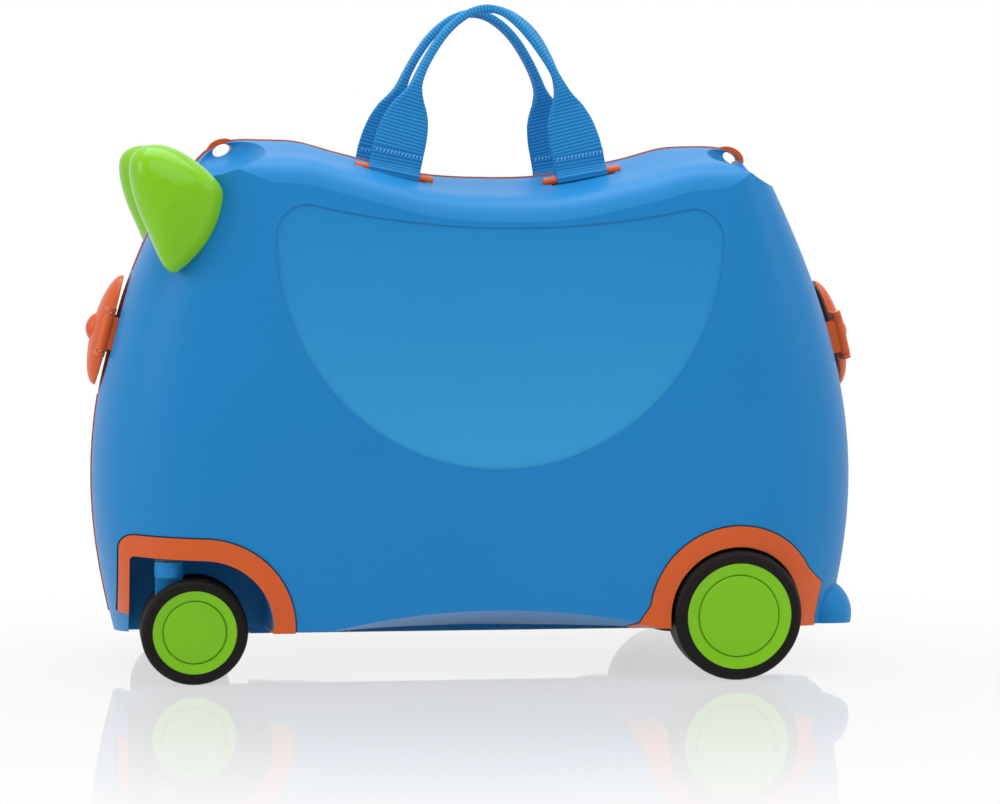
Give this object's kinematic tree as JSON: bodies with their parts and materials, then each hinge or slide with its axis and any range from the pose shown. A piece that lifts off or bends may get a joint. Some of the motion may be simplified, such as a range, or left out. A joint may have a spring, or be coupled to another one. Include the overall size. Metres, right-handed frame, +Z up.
{
  "type": "ride-on suitcase",
  "caption": "Child's ride-on hard suitcase: two hinged half shells with a saddle top, horns, webbing handles, end latches, front casters and fixed rear wheels.",
  "frame": {"origin": "on the floor under the middle of the case, in the seam plane", "axes": "+X along the case towards the rear wheels, +Y across it towards the far half, +Z up"},
  "size_m": [0.4582, 0.206, 0.3863],
  "materials": {
    "blue_shell": "satin, fine grain",
    "orange_plastic": "satin",
    "green_plastic": "gloss",
    "black_tyre": "matte",
    "webbing": "woven rib",
    "dark_bush": "natural",
    "steel": "plain"
  },
  "bodies": {
    "near_case": {"near_shell": "blue_shell", "seam_seal": "orange_plastic", "front_tow_loop": "orange_plastic", "rear_tow_loop": "orange_plastic", "near_horn": "green_plastic", "near_horn_screw": "steel", "near_front_arch": "orange_plastic", "near_rear_arch": "orange_plastic", "near_handle_bars": "orange_plastic", "near_handle_tabs": "webbing", "front_latch_bracket": "orange_plastic", "rear_latch_bracket": "orange_plastic", "front_latch_pin": "steel", "rear_latch_pin": "steel", "near_caster_bush": "dark_bush", "near_rear_axle": "steel", "hinge_pin": "steel"},
    "far_case": {"far_shell": "blue_shell", "far_horn": "green_plastic", "far_horn_screw": "steel", "far_front_arch": "orange_plastic", "far_rear_arch": "orange_plastic", "far_handle_bars": "orange_plastic", "far_handle_tabs": "webbing", "latch_strikes": "steel", "far_caster_bush": "dark_bush", "far_rear_axle": "steel"},
    "front_latch_cover": {"front_latch": "orange_plastic"},
    "rear_latch_cover": {"rear_latch": "orange_plastic"},
    "near_handle": {"near_handle_grip": "webbing"},
    "far_handle": {"far_handle_grip": "webbing"},
    "near_caster": {"near_caster_fork": "blue_shell", "near_caster_clip": "steel", "near_caster_axle": "steel"},
    "near_outer_caster_wheel": {"near_caster_outer_tyre": "black_tyre", "near_caster_outer_hub": "green_plastic", "near_caster_outer_cap": "green_plastic"},
    "near_inner_caster_wheel": {"near_caster_inner_tyre": "black_tyre", "near_caster_inner_hub": "green_plastic", "near_caster_inner_cap": "green_plastic"},
    "near_rear_wheel": {"near_rear_tyre": "black_tyre", "near_rear_hub": "green_plastic", "near_rear_cap": "green_plastic"},
    "far_caster": {"far_caster_fork": "blue_shell", "far_caster_clip": "steel", "far_caster_axle": "steel"},
    "far_outer_caster_wheel": {"far_caster_outer_tyre": "black_tyre", "far_caster_outer_hub": "green_plastic", "far_caster_outer_cap": "green_plastic"},
    "far_inner_caster_wheel": {"far_caster_inner_tyre": "black_tyre", "far_caster_inner_hub": "green_plastic", "far_caster_inner_cap": "green_plastic"},
    "far_rear_wheel": {"far_rear_tyre": "black_tyre", "far_rear_hub": "green_plastic", "far_rear_cap": "green_plastic"}
  },
  "joints": [
    {"name": "case_hinge", "type": "hinge", "parent": "near_case", "child": "far_case", "pos_m": [0, 0, 0.02], "axis": [-1, 0, 0], "range_deg": [0, 120]},
    {"name": "front_latch_hinge", "type": "hinge", "parent": "near_case", "child": "front_latch_cover", "pos_m": [-0.21782, -0.021, 0.19438], "axis": [0.2554, 0, 0.9668], "range_deg": [0, 100]},
    {"name": "rear_latch_hinge", "type": "hinge", "parent": "near_case", "child": "rear_latch_cover", "pos_m": [0.21782, -0.021, 0.19438], "axis": [0.2554, 0, -0.9668], "range_deg": [0, 100]},
    {"name": "near_handle_flex", "type": "hinge", "parent": "near_case", "child": "near_handle", "pos_m": [0, -0.036, 0.2993], "axis": [1, 0, 0], "range_deg": [-12, 95]},
    {"name": "near_caster_swivel", "type": "hinge", "parent": "near_case", "child": "near_caster", "pos_m": [-0.184, -0.07, 0.071], "axis": [0, 0, 1], "range_deg": [-90, 90]},
    {"name": "near_outer_caster_wheel_spin", "type": "hinge", "parent": "near_caster", "child": "near_outer_caster_wheel", "pos_m": [-0.17, -0.07925, 0.03], "axis": [0, 1, 0], "continuous": true},
    {"name": "near_inner_caster_wheel_spin", "type": "hinge", "parent": "near_caster", "child": "near_inner_caster_wheel", "pos_m": [-0.17, -0.06075, 0.03], "axis": [0, 1, 0], "continuous": true},
    {"name": "near_rear_wheel_spin", "type": "hinge", "parent": "near_case", "child": "near_rear_wheel", "pos_m": [0.14, -0.083, 0.0374], "axis": [0, 1, 0], "continuous": true},
    {"name": "far_handle_flex", "type": "hinge", "parent": "far_case", "child": "far_handle", "pos_m": [0, 0.036, 0.2993], "axis": [-1, 0, 0], "range_deg": [-12, 95]},
    {"name": "far_caster_swivel", "type": "hinge", "parent": "far_case", "child": "far_caster", "pos_m": [-0.184, 0.07, 0.071], "axis": [0, 0, 1], "range_deg": [-90, 90]},
    {"name": "far_outer_caster_wheel_spin", "type": "hinge", "parent": "far_caster", "child": "far_outer_caster_wheel", "pos_m": [-0.17, 0.07925, 0.03], "axis": [0, 1, 0], "continuous": true},
    {"name": "far_inner_caster_wheel_spin", "type": "hinge", "parent": "far_caster", "child": "far_inner_caster_wheel", "pos_m": [-0.17, 0.06075, 0.03], "axis": [0, 1, 0], "continuous": true},
    {"name": "far_rear_wheel_spin", "type": "hinge", "parent": "far_case", "child": "far_rear_wheel", "pos_m": [0.14, 0.083, 0.0374], "axis": [0, 1, 0], "continuous": true}
  ]
}
